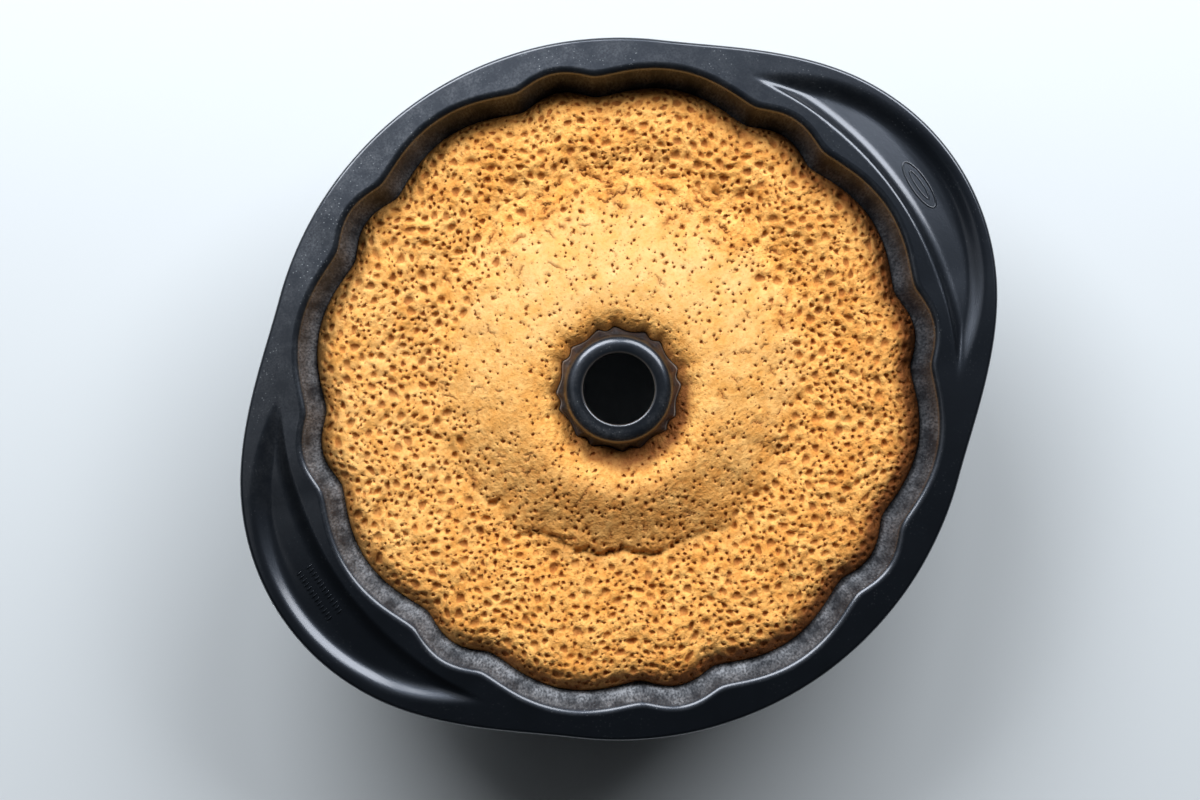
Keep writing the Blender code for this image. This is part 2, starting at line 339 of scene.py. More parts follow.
def pan_rings(theta):
    """Every ring of the upper side, with its share of wear, of film and of baked batter."""
    rings, finish = [], []
    rim = outline(theta)
    outer = rim - LIP_ROUND
    inner = edge_centre(theta) + EDGE_ROUND * math.sin(FLANGE_FALL)
    lip_level = flange_level(outer, theta)
    for drop, wear in ((LIP_DROP, 0.3), (LIP_ROUND * 1.1, 0.2)):
        rings.append(ring(theta, rim, lip_level - drop))
        finish.append((wear, 0, 0))
    for turn in np.radians(LIP_TURNS):
        radius = outer + LIP_ROUND * math.cos(turn)
        rings.append(ring(theta, radius, lip_level - LIP_ROUND * (1 - math.sin(turn))))
        finish.append((float(np.interp(turn, (0.3, 0.7), (0.1, 0))), LIP_FILM, 0))
    for share in 1 - np.linspace(1, 0, FLANGE_RINGS) ** 1.5:
        radius = outer + (inner - outer) * share
        rings.append(ring(theta, radius, flange_level(radius, theta)))
        finish.append((0, FLANGE_FILM, 0))
    for turn in np.linspace(math.radians(80), WALL_DRAFT, EDGE_RINGS):
        radius = edge_centre(theta) - EDGE_ROUND * math.cos(turn)
        rings.append(ring(theta, radius, PAN_HEIGHT - EDGE_ROUND * (1 - math.sin(turn))))
        finish.append((0, float(np.interp(turn, (0.2, 0.8), (0.6, 0.06))), 0))
    for height in np.linspace(PAN_HEIGHT - EDGE_ROUND, WALL_LINE, WALL_RINGS + 2)[1:-1]:
        rings.append(wall_ring(theta, height))
        finish.append((0, float(np.interp(height, (WALL_LINE + 4 * MM, 82 * MM), (1, 0.5))), 0))
    trough = trough_rings(theta, 22)
    rings += trough
    finish += [(0, 1, 0)] * (len(trough) - 1) + [(0.9, 0.2, 1)]
    for height in np.linspace(TUBE_LINE, PAN_HEIGHT - TUBE_SHOULDER, TUBE_RINGS + 1)[1:]:
        rings.append(tube_ring(theta, height))
        ridge_wear_and_glint = 0.75 if height < TUBE_LINE + WEAR_AND_GLINT_HEIGHT else 0
        batter = float(smoothstep((TUBE_LINE + BATTER_HEIGHT - height) / (5 * MM)))
        finish.append((ridge_wear_and_glint, TUBE_FILM, batter))
    centre = TUBE_RADIUS + TUBE_SHOULDER * (math.tan(TUBE_DRAFT) - 1 / math.cos(TUBE_DRAFT))
    for turn in np.radians((22, 36, 50, 64, 78, 90)):
        radius = centre + TUBE_SHOULDER * math.cos(turn)
        rings.append(ring(theta, radius, PAN_HEIGHT - TUBE_SHOULDER * (1 - math.sin(turn))))
        finish.append((0, SHOULDER_FILM, 0))
    for radius, drop, wear in ((14.9, 0, 0), (14.3, 0.1, 0.05), (14.0, 0.35, 0.2), (13.9, 0.7, 0.2)):
        rings.append(ring(theta, radius * MM, PAN_HEIGHT - drop * MM))
        finish.append((wear, 0, 0))
    return rings, finish


def closed_strip(rings):
    """Four-sided faces that join the rings, the last back to the first, facing out."""
    count, size = len(rings), len(rings[0])
    here = np.arange(count)[:, None] * size
    there = (np.arange(count)[:, None] + 1) % count * size
    j = np.arange(size)[None, :]
    k = (j + 1) % size
    return np.stack([here + k, there + k, there + j, here + j], axis=2).reshape(-1, 4)


upper, finish = pan_rings(around)
upper = np.array(upper)
under = upper - upper_normals(upper) * SHEET
under[:, :, 2] = np.where(upper[:, :, 2] <= SHEET, 0, np.maximum(under[:, :, 2], 0))
both_sides = list(upper) + list(under[::-1])
wear, film_and_painted_light, baked = (
    np.concatenate([np.repeat([f[i] for f in finish], PAN_SEGMENTS), np.zeros(upper[..., 0].size)])
    for i in range(3)
)
# Underneath, only the lip and the edge of the hole are rubbed.
wear_below = [0 if batter > 0 else rub for rub, _, batter in finish[::-1]]
wear[upper[..., 0].size :] = np.repeat(wear_below, PAN_SEGMENTS)
# Film lies on the flange to the north-west, as grease and dust and as a painted sheen where the
# flange faces the windows. It lies on the wall to the south, as grease and as painted light where
# the wall faces the windows. The tube's ridges are rubbed bright to the east and west, partly wear
# and partly a painted glint.
flange_rings = 2 + len(LIP_TURNS) + FLANGE_RINGS
other_rings = 2 * len(upper) - flange_rings
on_flange = flange_rings * PAN_SEGMENTS
film_and_painted_light[:on_flange] *= np.tile(near(around, NORTH + 0.6, 1.6), flange_rings)
film_and_painted_light[on_flange:] *= np.tile(0.4 + 0.6 * near(around, SOUTH - 0.4, 2.4), other_rings)
# Painted glint: the pale wear on the tube's lowest ridges to the east and west also stands in for a
# glint of light.
rubbed_and_glint_side = np.maximum(near(around, EAST, 1.3), near(around, WEST - 0.4, 1.5))
wear = np.where(baked > 0, wear * np.tile(rubbed_and_glint_side, 2 * len(upper)), wear)
print("The sheet has", len(upper), "rings of", PAN_SEGMENTS, "points on each side")

# %% [markdown]
# ## Marks stamped on the ears
#
# Makers stamp their name and the pan's size into the ears. Here they are replaced by plain marks
# that say nothing: two rows of short ticks on one ear and an oval on the other. Each is a low bead
# that follows a path over the floor of the recess, as a stamp pushes the sheet up from below.


# %% Beads for the marks
def bead(path, width, height, closed):
    """Points and faces of a low rounded bead along a path of (x, y) points on the flange."""
    path = np.asarray(path)
    if closed:
        along = np.roll(path, -1, axis=0) - np.roll(path, 1, axis=0)
    else:
        along = np.gradient(path, axis=0)
    side = np.stack([-along[:, 1], along[:, 0]], axis=1)
    side /= np.linalg.norm(side, axis=1, keepdims=True)
    swell = np.ones(len(path))
    if not closed:
        swell[[0, -1]] = 0.45
    points = []
    for across in (-1, -0.6, 0, 0.6, 1):
        spot = path + side * (across * width / 2 * swell)[:, None]
        level = flange_level(np.hypot(spot[:, 0], spot[:, 1]), np.arctan2(spot[:, 1], spot[:, 0]))
        lift = (height * swell + 0.1 * MM) * math.sqrt(1 - across**2) - 0.1 * MM
        points.append(np.column_stack([spot, level + lift]))
    points = np.array(points)
    count = len(path)
    faces = []
    for i in range(4):
        for j in range(count if closed else count - 1):
            k = (j + 1) % count
            faces.append((i * count + j, i * count + k, (i + 1) * count + k, (i + 1) * count + j))
    return points.reshape(-1, 3), faces


def stamp(name, beads, material):
    """One piece made of several beads."""
    points, faces = [], []
    for some_points, some_faces in beads:
        start = sum(len(p) for p in points)
        points.append(some_points)
        faces += [tuple(start + v for v in face) for face in some_faces]
    return make_piece(name, np.concatenate(points), faces, material)


# Where the marks are on the ears, and how large.
MARK_REACH = 10.5 * MM
TICK_ROWS = (-143.4 * MM, -138.6 * MM)
TICKS_IN_ROW = 13
TICK_HALF = 1.3 * MM
TICK_LEAN = 0.25 * MM
OVAL_CENTRE = 141.5 * MM
OVAL_POINTS = 48

ticks = []
for row in TICK_ROWS:
    for place in np.linspace(-MARK_REACH, MARK_REACH, TICKS_IN_ROW):
        start, end = (row - TICK_HALF, place - TICK_LEAN), (row + TICK_HALF, place + TICK_LEAN)
        ticks.append(bead([start, (row, place), end], 1.0 * MM, 0.5 * MM, closed=False))


def oval(half_width, half_length):
    """A path round an oval on the ear opposite the ticks."""
    turns = np.arange(OVAL_POINTS) * 2 * math.pi / OVAL_POINTS
    return np.column_stack([OVAL_CENTRE + half_width * np.cos(turns), half_length * np.sin(turns)])


ovals = [
    bead(oval(3.2 * MM, MARK_REACH), 0.9 * MM, 0.35 * MM, closed=True),
    bead(oval(1.2 * MM, 6.5 * MM), 0.8 * MM, 0.3 * MM, closed=True),
]
print(len(ticks), "ticks and", len(ovals), "ovals")

# %% [markdown]
# ## Finish of the pan: coated steel
#
# The pan is mild steel, pressed, then sprayed with a black non-stick coating and baked. That gives
# a very dark blue-black with a satin sheen and a faint grain, like fine orange peel. Use adds the
# rest: a thin grey film of old grease with pale specks on the wall, paler edges where racks and
# knives have rubbed the lip and the tube, and brown batter baked on round the tube. The grey film
# is laid on thickest where the wall and the flange face the windows, so it is partly painted light
# and painted sheen. The pale edge on the tube's lowest ridges is partly a painted glint. The
# coating is a plastic paint, so it isn't metallic, and its IOR of 1.6 is a little above that of most
# plastics.

# %% Coated steel
coated_steel, tree, shader = start_material("nonstick_coated_steel")
place = add(tree, "ShaderNodeTexCoord").outputs["Object"]
wear_and_glint = add(tree, "ShaderNodeAttribute", attribute_name="wear").outputs["Fac"]
grease_and_painted_light = add(tree, "ShaderNodeAttribute", attribute_name="film_and_painted_light").outputs["Fac"]
battered = add(tree, "ShaderNodeAttribute", attribute_name="baked").outputs["Fac"]

# Cloudy patches about 18 mm across.
clouds = add(tree, "ShaderNodeTexNoise", {"Vector": place, "Scale": 55, "Detail": 4, "Roughness": 0.6})
coating = add(
    tree,
    "ShaderNodeMix",
    {0: clouds.outputs["Fac"], 6: linear("#06080B"), 7: linear("#0E1217")},
    data_type="RGBA",
)
# The grease film ran down the wall: its blotches are 8 mm wide and its grains 0.8 mm, and both are
# five times as tall.
runs = add(tree, "ShaderNodeMapping", {"Vector": place, "Scale": (1, 1, 0.2)}).outputs[0]
blotches = add(tree, "ShaderNodeTexNoise", {"Vector": runs, "Scale": 130, "Detail": 4, "Roughness": 0.6})
film_share = add(
    tree, "ShaderNodeMapRange", {0: blotches.outputs["Fac"], 1: 0.38, 2: 0.62, 3: 0.2, 4: 1.25}
)
dust = add(tree, "ShaderNodeTexNoise", {"Vector": runs, "Scale": 1250, "Detail": 2})
dust_share = add(tree, "ShaderNodeMapRange", {0: dust.outputs["Fac"], 1: 0.34, 2: 0.66, 3: 0.25, 4: 1.2})
dusty = add(
    tree, "ShaderNodeMath", {0: film_share.outputs[0], 1: dust_share.outputs[0]}, operation="MULTIPLY"
)
# The grey film is laid on thickest where the wall and the flange face the windows, so it is partly
# painted light and painted sheen.
film_and_painted_light_amount = add(tree, "ShaderNodeMath", {0: dusty.outputs[0], 1: grease_and_painted_light}, operation="MULTIPLY")
film_and_painted_light_colour = add(
    tree,
    "ShaderNodeMix",
    {0: film_and_painted_light_amount.outputs[0], 6: coating.outputs[2], 7: linear("#8F9398")},
    data_type="RGBA",
)
# Pale specks: dried crumbs and flour, about 0.4 mm wide, thickest where the clouds are palest.
specks = add(tree, "ShaderNodeTexVoronoi", {"Vector": place, "Scale": 700})
speck_share = add(
    tree, "ShaderNodeMapRange", {0: specks.outputs["Distance"], 1: 0.1, 2: 0.2, 3: 1.0, 4: 0.0}
)
speck_few = add(
    tree, "ShaderNodeMapRange", {0: clouds.outputs["Fac"], 1: 0.48, 2: 0.62, 3: 0.0, 4: 0.7}
)
speck_in_film = add(tree, "ShaderNodeMapRange", {0: grease_and_painted_light, 2: 0.1, 3: 0.1, 4: 1.0})
speck_size = add(
    tree, "ShaderNodeMath", {0: speck_share.outputs[0], 1: speck_few.outputs[0]}, operation="MULTIPLY"
)
speck_amount = add(
    tree, "ShaderNodeMath", {0: speck_size.outputs[0], 1: speck_in_film.outputs[0]}, operation="MULTIPLY"
)
specked = add(
    tree,
    "ShaderNodeMix",
    {0: speck_amount.outputs[0], 6: film_and_painted_light_colour.outputs[2], 7: linear("#8E9498")},
    data_type="RGBA",
)
# Baked batter is a brown varnish in patches about 5 mm across.
patches = add(tree, "ShaderNodeTexNoise", {"Vector": place, "Scale": 200, "Detail": 3})
patch_share = add(
    tree, "ShaderNodeMapRange", {0: patches.outputs["Fac"], 1: 0.35, 2: 0.6, 3: 0.35, 4: 0.95}
)
batter_amount = add(
    tree, "ShaderNodeMath", {0: patch_share.outputs[0], 1: battered}, operation="MULTIPLY"
)
battered_colour = add(
    tree,
    "ShaderNodeMix",
    {0: batter_amount.outputs[0], 6: specked.outputs[2], 7: linear("#3A2C26")},
    data_type="RGBA",
)
# The pale wear colour is partly a painted glint on the tube's lowest ridges.
wear_and_glint_colour = add(
    tree,
    "ShaderNodeMix",
    {0: wear_and_glint, 6: battered_colour.outputs[2], 7: linear("#C8BFB4")},
    data_type="RGBA",
)
tree.links.new(wear_and_glint_colour.outputs[2], shader.inputs["Base Color"])
dull = add(tree, "ShaderNodeMapRange", {0: grease_and_painted_light, 2: 0.3, 3: 0.3, 4: 0.7})
tree.links.new(dull.outputs[0], shader.inputs["Roughness"])
shader.inputs["IOR"].default_value = 1.6
shader.inputs["Specular Tint"].default_value = linear("#C6D6EE")
# A thin glossy skin over the satin coat draws the sharp bright lines along every bend. The film
# hides it.
bare = add(tree, "ShaderNodeMapRange", {0: grease_and_painted_light, 1: 0.1, 2: 0.25, 3: 0.85, 4: 0.03})
tree.links.new(bare.outputs[0], shader.inputs["Coat Weight"])
shader.inputs["Coat Roughness"].default_value = 0.17
shader.inputs["Coat IOR"].default_value = 1.5
# Orange peel of the sprayed coat, about 1 mm from bump to bump.
peel = add(tree, "ShaderNodeTexNoise", {"Vector": place, "Scale": 1000, "Detail": 2})
relief = add(
    tree, "ShaderNodeBump", {"Height": peel.outputs["Fac"], "Strength": 0.12, "Distance": 0.2 * MM}
)
tree.links.new(relief.outputs["Normal"], shader.inputs["Normal"])
print("Coated steel has", len(tree.nodes), "nodes")

# %% Make the pan and its marks
pan = make_piece(
    "pan_sheet",
    np.concatenate(both_sides),
    closed_strip(both_sides),
    coated_steel,
    {"wear": wear, "film_and_painted_light": film_and_painted_light, "baked": baked},
)
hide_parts("pan")
for mark in (stamp("tick_marks", ticks, coated_steel), stamp("oval_mark", ovals, coated_steel)):
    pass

# %% [markdown]
# ## The top of the cake
#
# As it bakes, the batter climbs the tube and the wall, the middle domes, and the crust sets. Then
# the outer part, which rose last, breaks away from the smooth dome along a crease and stays open
# and coarse. So the height of the top is a smooth profile from the tube to the wall, plus a crease
# that wanders round about half way out, plus lumps. The profile is worked out along a share from 0
# at the tube to 1 at the wall, so that the cake's edge follows every flute.

# %% Height of the cake's top
DISC_INNER = 24.0 * MM
DISC_OUTER = 119.0 * MM
CREASE = 74 * MM
CRUST_EDGE = 69 * MM
DOME_SHIFT = 9 * MM
EDGE_POWER = 4.5
COLLAR_POWER = 2.2
CREST_SOFTNESS = 0.25
CREASE_DEPTH = 1.3 * MM
CREASE_WIDTH = 1.4 * MM
CRUST_LIFT = 1.2 * MM
CRUST_SLOPE = 9 * MM
LUMP_SIZE, KNOB_SIZE, GRAIN_SIZE = 13 * MM, 4.5 * MM, 2.2 * MM


def crease_radius(theta):
    """Distance from the axis to the crease round the dome, which rose a little off centre."""
    ragged = wobble(np.cos(theta) * 60 * MM, np.sin(theta) * 60 * MM, 14 * MM, 3, octaves=3)
    return CREASE + DOME_SHIFT * np.cos(theta - NORTH) + 4.5 * MM * ragged


def profile(share, crest, valley, collar):
    """Height of the top on the way from the tube, 0, to the wall, 1, with crest and valley there."""
    fall = np.clip(1 - share / crest, 0, 1)
    dip = CREST[1] - (CREST[1] - TUBE_LINE) * fall**collar
    along = np.clip((share - crest) / (valley - crest), 0, 1)
    flank = (1 + CREST_SOFTNESS) * along**2 / (along + CREST_SOFTNESS)
    dome = CREST[1] + (VALLEY[1] - CREST[1]) * flank
    rise = VALLEY[1] + (SHOULDER[1] - VALLEY[1]) * smoothstep((share - valley) / (SHOULDER[0] - valley))
    roll = np.clip((share - SHOULDER[0]) / (1 - SHOULDER[0]), 0, 1)
    edge = SHOULDER[1] - (SHOULDER[1] - WALL_LINE) * roll**EDGE_POWER
    return np.select([share < crest, share < valley, share < SHOULDER[0]], [dip, dome, rise], edge)


def crumb_share(radius, theta):
    """0 on the smooth crust of the dome and 1 in the coarse outer ring, with a ragged border."""
    ragged = wobble(radius * np.cos(theta), radius * np.sin(theta), 9 * MM, 9, octaves=3)
    border = CRUST_EDGE + 3 * MM * np.cos(theta - NORTH) + 7 * MM * ragged
    return smoothstep((radius - border) / (18 * MM) + 0.5)


def top_height(share, radius, theta):
    """Height of the cake's top, without its pores."""
    x, y = radius * np.cos(theta), radius * np.sin(theta)
    coarse = crumb_share(radius, theta)
    crease_at = crease_radius(theta)
    valley = (crease_at - DISC_INNER) / (DISC_OUTER - DISC_INNER)
    collar = COLLAR_POWER + 1.8 * near(theta, NORTH + 0.5, 2.2) - 0.6 * near(theta, SOUTH, 2.0)
    crest = CREST[0] + 0.045 * near(theta, SOUTH, 1.7)
    strength = 0.1 + 0.9 * np.maximum(near(theta, SOUTH, 1.1), near(theta, NORTH - 0.3, 0.9) * 0.8)
    away = radius - crease_at
    crease = -CREASE_DEPTH * np.exp(-((away / CREASE_WIDTH) ** 2))
    crust_lift = CRUST_LIFT * smoothstep(away / CRUST_SLOPE + 1) * (away < 0)
    lumps = wobble(x, y, LUMP_SIZE, 1) * (0.45 + 0.6 * coarse) * MM
    knobs = wobble(x, y, KNOB_SIZE, 5) * (0.08 + 0.55 * coarse) * MM
    grain = wobble(x, y, GRAIN_SIZE, 2) * (0.04 + 0.3 * coarse) * MM
    fade = smoothstep((1 - share) / 0.03) * smoothstep(share / 0.03)
    relief = (crease + crust_lift) * strength + lumps + knobs + grain
    return profile(share, crest, valley, collar) + relief * fade


# %% [markdown]
# ## Pores
#
# A sponge crust is full of burst bubbles: pinholes on the dome, and open pores 2 to 5 mm wide in
# the outer ring. A bump texture can't make their dark steep sides, so they are cut into the mesh.
# Centres are thrown at random, largest first, and one that falls too close to another is thrown
# away, which spaces them as real bubbles are. Each kept pore gets a ragged rim of points, a deep
# middle and, unless it is tiny, a step down between them. Cracks are laid the same way along short
# wandering lines. Every point of a pore or crack also carries a painted shade, darkest in the
# middle and along the deep line.

# %% Throw the pores
# Rivals are looked for in square cells of this size, and these radii part one kind from the next.
CELL = 5 * MM
WIDEST, WIDE, SMALL, TINY = 1.4 * MM, 1.1 * MM, 0.8 * MM, 0.5 * MM
# Smallest and largest radius, and how many are thrown.
PORE_ROUNDS = (
    (1.5 * MM, 2.3 * MM, 1500),
    (WIDE, 1.6 * MM, 4200),
    (SMALL, WIDE, 9000),
    (TINY, 0.85 * MM, 10000),
    (0.36 * MM, TINY, 5000),
)


def throw_pores(rounds, accept):
    """Centres and radii of pores that don't touch, as rows of x, y, radius. Largest come first."""
    kept, cells = [], {}
    for smallest, largest, tries in rounds:
        away = np.sqrt(chance.uniform(DISC_INNER**2, DISC_OUTER**2, tries))
        turn = chance.uniform(0, 2 * math.pi, tries)
        radii = chance.uniform(smallest, largest, tries)
        wanted = accept(away, turn, radii, chance.uniform(0, 1, tries))
        rows = np.column_stack([away * np.cos(turn), away * np.sin(turn), radii])[wanted]
        for x, y, r in rows.tolist():
            home = (int(x // CELL), int(y // CELL))
            block = [(home[0] + i, home[1] + j) for i in (-1, 0, 1) for j in (-1, 0, 1)]
            rivals = (rival for cell in block for rival in cells.get(cell, ()))
            if all(math.hypot(x - a, y - b) > (r + c) * 1.05 + 0.12 * MM for a, b, c in rivals):
                cells.setdefault(home, []).append((x, y, r))
                kept.append((x, y, r))
    return np.array(kept)


def pore_allowed(away, turn, radii, draw):
    """Big pores only in the coarse ring, pinholes everywhere, and both more crowded in patches."""
    coarse = crumb_share(away, turn)
    crowd = 0.65 + 0.6 * wobble(away * np.cos(turn), away * np.sin(turn), 9 * MM, 6)
    inside = (away > DISC_INNER + radii * 1.5) & (away < DISC_OUTER - radii * 1.5)
    middling = 0.06 + 0.94 * coarse + 0.14 * near(turn, SOUTH, 1.6) * (1 - coarse)
    pinholes = 0.3 + 0.6 * coarse + 0.25 * near(turn, SOUTH, 1.8) * (1 - coarse)
    chosen = np.select([radii > WIDE, radii > SMALL], [coarse**2, middling], pinholes)
    return inside & (draw < chosen * crowd)


pores = throw_pores(PORE_ROUNDS, pore_allowed)
print(len(pores), "pores, of which", int((pores[:, 2] > WIDE).sum()), "are wide")


# %% [markdown]
# ## The cake's mesh
#
# All points of the top are first laid out flat, on a round disc with a hole. Points of a plain
# lattice fill the room between the pores. Delaunay triangulation then joins every point to its
# nearest neighbours, which suits pores of all sizes far better than a regular grid would. Last, the
# disc is stretched to the fluted edges and lifted to its height.


# %% Lay out the points
def disc_ring(radius, count, shift=0.0):
    """Points evenly round a circle."""
    turn = (np.arange(count) + shift) * 2 * math.pi / count
    return np.column_stack([radius * np.cos(turn), radius * np.sin(turn)])


def lay_pores(rows):
    """Points of all pores as rows of x, y, depth and painted shade: a ragged rim, a step and a middle.
    """
    laid = []
    for x, y, r in rows:
        in_ring = math.hypot(x, y) > 95 * MM
        stretch = chance.uniform(1.0, 1.7 if in_ring else 1.5)
        lean = math.atan2(y, x) + math.pi / 2 + chance.normal(0, 0.6 if in_ring else 1.5)
        wide = r > WIDEST
        lobed = r > 0.6 * MM
        sides = 12 if wide else 10 if r > WIDE else 7 if lobed else 5
        turn = (np.arange(sides) + chance.uniform()) * 2 * math.pi / sides
        lobes = 1 + (0.12 if wide else 0.25) * np.cos(3 * turn + chance.uniform(0, 6)) * lobed
        ragged = lobes * chance.uniform(0.8 if wide else 0.75, 1.15, sides)
        u = np.cos(turn) * r * math.sqrt(stretch) * ragged
        v = np.sin(turn) * r / math.sqrt(stretch) * ragged
        rim_x = u * math.cos(lean) - v * math.sin(lean)
        rim_y = u * math.sin(lean) + v * math.cos(lean)
        rim = np.column_stack([rim_x, rim_y])
        tone = chance.uniform(0.45, 0.9) if wide else chance.uniform(0.5 if in_ring else 0.8, 1.0)
        deep = min(r * (0.45 + 0.75 * tone), 1.5 * MM) + 0.15 * MM
        off = rim[0] * chance.uniform(-0.3, 0.3)
        steps = ((1.0, 0.0, 0.0), (0.7, 0.7, 0.8)) if r > TINY else ((1.0, 0.0, 0.25),)
        for size, share, dark in steps:
            for spot in rim * size + off * (1 - size):
                laid.append((x + spot[0], y + spot[1], deep * share, tone * dark))
        laid.append((x + off[0] * 0.5, y + off[1] * 0.5, deep, tone))
    return np.array(laid)


def lay_crack(start, heading, steps, turn_rate, width, depth):
    """Points of a jagged crack about a straight heading: a deep line between two lips."""
    laid = []
    x, y = start
    for i in range(steps):
        fade = math.sin(math.pi * (i + 0.5) / steps) ** 0.5
        now = heading + chance.normal(0, turn_rate)
        side = (-math.sin(now), math.cos(now))
        # The fourth number is painted shade, dark along the deep line and light on the lips.
        laid.append((x, y, depth * fade, fade))
        for lip in (-width, width):
            reach = lip * chance.uniform(0.7, 1.4) * (0.5 + 0.5 * fade)
            laid.append((x + side[0] * reach, y + side[1] * reach, 0, 0.25))
        step = chance.uniform(0.5, 0.8) * MM
        x += math.cos(now) * step
        y += math.sin(now) * step
    return laid


FINE_CRACKS = 30
NORTH_TEARS, SOUTH_TEARS = 44, 10

# Fine cracks run over the dome, and wider tears follow its crease.
cracks = []
for _ in range(FINE_CRACKS):
    turn = chance.choice((WEST, EAST, SOUTH)) + chance.normal(0, 0.7)
    away = chance.uniform(40, 66) * MM
    start = (away * math.cos(turn), away * math.sin(turn))
    heading = turn + chance.choice((0.0, math.pi / 2)) + chance.normal(0, 0.5)
    cracks += lay_crack(start, heading, int(chance.integers(6, 14)), 0.7, 0.32 * MM, 0.6 * MM)
for side in [NORTH] * NORTH_TEARS + [SOUTH] * SOUTH_TEARS:
    turn = side + chance.normal(0, 0.6)
    spread = chance.uniform(-14, 5) if side == NORTH else chance.normal(-1, 1.5)
    away = float(crease_radius(np.array([turn]))[0]) + spread * MM
    start = (away * math.cos(turn), away * math.sin(turn))
    heading = turn + math.pi / 2 + chance.normal(0, 0.35)
    steps = int(chance.integers(5, 17))
    cracks += lay_crack(start, heading, steps, 0.8, chance.uniform(0.6, 1.4) * MM, 1.6 * MM)
cracks = np.array(cracks)
print(len(cracks), "points in cracks")

# %% Fill the gaps between them
LATTICE = 1.15 * MM
EDGE_POINTS, TUBE_POINTS = 864, 216

crack_tree = kdtree.KDTree(len(cracks))
for i, (x, y) in enumerate(cracks[:, :2]):
    crack_tree.insert((x, y, 0), i)
crack_tree.balance()
pores = np.array([p for p in pores if crack_tree.find((p[0], p[1], 0))[2] > p[2] * 1.3 + 0.6 * MM])
pore_points = lay_pores(pores)

lattice = []
for i, away in enumerate(np.arange(DISC_INNER + LATTICE, DISC_OUTER - LATTICE * 0.5, LATTICE * 0.87)):
    lattice.append(disc_ring(away, int(2 * math.pi * away / LATTICE), 0.5 * (i % 2)))
lattice = np.concatenate(lattice)
lattice += chance.normal(0, 0.12, lattice.shape) * LATTICE
lattice_tree = kdtree.KDTree(len(lattice))
for i, (x, y) in enumerate(lattice):
    lattice_tree.insert((x, y, 0), i)
lattice_tree.balance()
free = np.ones(len(lattice), dtype=bool)
for x, y, r in pores:
    for _, i, _ in lattice_tree.find_range((x, y, 0), r * 1.25 + 0.3 * MM):
        free[i] = False
for x, y in cracks[:, :2]:
    for _, i, _ in lattice_tree.find_range((x, y, 0), 0.5 * MM):
        free[i] = False

edge = disc_ring(DISC_OUTER, EDGE_POINTS)
hole = disc_ring(DISC_INNER, TUBE_POINTS)
plain = np.concatenate([edge, hole, lattice[free]])
laid = np.concatenate([np.column_stack([plain, np.zeros((len(plain), 2))]), pore_points, cracks])
print(len(laid), "points on the top of the cake")

# %% Join them
_, _, top_faces, origins, _, _ = delaunay_2d_cdt(
    [Vector(p) for p in laid[:, :2].tolist()], [], [], 0, 1e-7
)
kept = np.array([o[0] for o in origins])
laid = laid[kept]
top_faces = np.array(top_faces)
in_hole = np.isin(kept[top_faces], np.arange(EDGE_POINTS, EDGE_POINTS + TUBE_POINTS)).all(axis=1)
top_faces = top_faces[~in_hole]
print(len(top_faces), "triangles on the top of the cake")

# %% Stretch the disc to the flutes and lift it
theta = np.arctan2(laid[:, 1], laid[:, 0])
disc_radius = np.hypot(laid[:, 0], laid[:, 1])
share = np.clip((disc_radius - DISC_INNER) / (DISC_OUTER - DISC_INNER), 0, 1)
clearance = GAP * 1.3
wall_radius = np.hypot(*wall_ring(theta, WALL_LINE)[:, :2].T) - clearance
tube_radius = np.hypot(*tube_ring(theta, TUBE_LINE)[:, :2].T) + clearance
radius = tube_radius + (wall_radius - tube_radius) * share
height = top_height(share, disc_radius, theta) - laid[:, 2]
top_points = np.column_stack([radius * np.cos(theta), radius * np.sin(theta), height])

# %% [markdown]
# ## The hidden sides of the cake
#
# Below its top, the cake is a cast of the trough. Nobody sees it while it is in the pan, so it needs
# only enough rings to stay clear of the steel. Each ring joins the next by stepping round both in
# order of angle, which also joins a fine ring to a coarse one. An edge that only one triangle uses
# would be a hole in the skin, so the last lines count those.


# %% Close the cake
def zip_rings(first, second, first_angles, second_angles):
    """Triangles that join two rings of point numbers, both in order of angle from 0."""
    faces = []
    behind = np.searchsorted(second_angles, first_angles, side="right") - 1
    for i in range(len(first)):
        faces.append((first[i - 1], first[i], second[behind[i]]))
    behind = np.searchsorted(first_angles, second_angles, side="left") - 1
    for j in range(len(second)):
        faces.append((second[j], second[j - 1], first[behind[j]]))
    return faces


def rim_of_top(first_number, count):
    """Point numbers of one edge of the top, in order, and their angles."""
    found = np.flatnonzero((kept >= first_number) & (kept < first_number + count))
    found = found[np.argsort(kept[found])]
    return found, np.arange(count) * 2 * math.pi / count


SIDE_SEGMENTS = 144
side_theta = np.arange(SIDE_SEGMENTS) * 2 * math.pi / SIDE_SEGMENTS
cast = np.array(trough_rings(side_theta, 12))
cast = (cast + upper_normals(cast) * clearance)[1:-1]
side_points = cast.reshape(-1, 3)
side_rings = [len(top_points) + i * SIDE_SEGMENTS + np.arange(SIDE_SEGMENTS) for i in range(len(cast))]
edge_ring, edge_angles = rim_of_top(0, EDGE_POINTS)
hole_ring, hole_angles = rim_of_top(EDGE_POINTS, TUBE_POINTS)
chain = [(edge_ring, edge_angles)] + [(r, side_theta) for r in side_rings] + [(hole_ring, hole_angles)]
side_faces = []
for (first, first_angles), (second, second_angles) in zip(chain, chain[1:]):
    side_faces += [(c, b, a) for a, b, c in zip_rings(first, second, first_angles, second_angles)]

all_faces = top_faces.tolist() + [tuple(int(v) for v in face) for face in side_faces]
cake_points = np.concatenate([top_points, side_points])
uses = {}
for face in all_faces:
    for a, b in zip(face, (*face[1:], face[0])):
        uses[(a, b)] = uses.get((a, b), 0) + 1
open_edges = sum(1 for (a, b) in uses if (b, a) not in uses)
print(len(all_faces), "triangles in the whole cake, with", open_edges, "open edges")
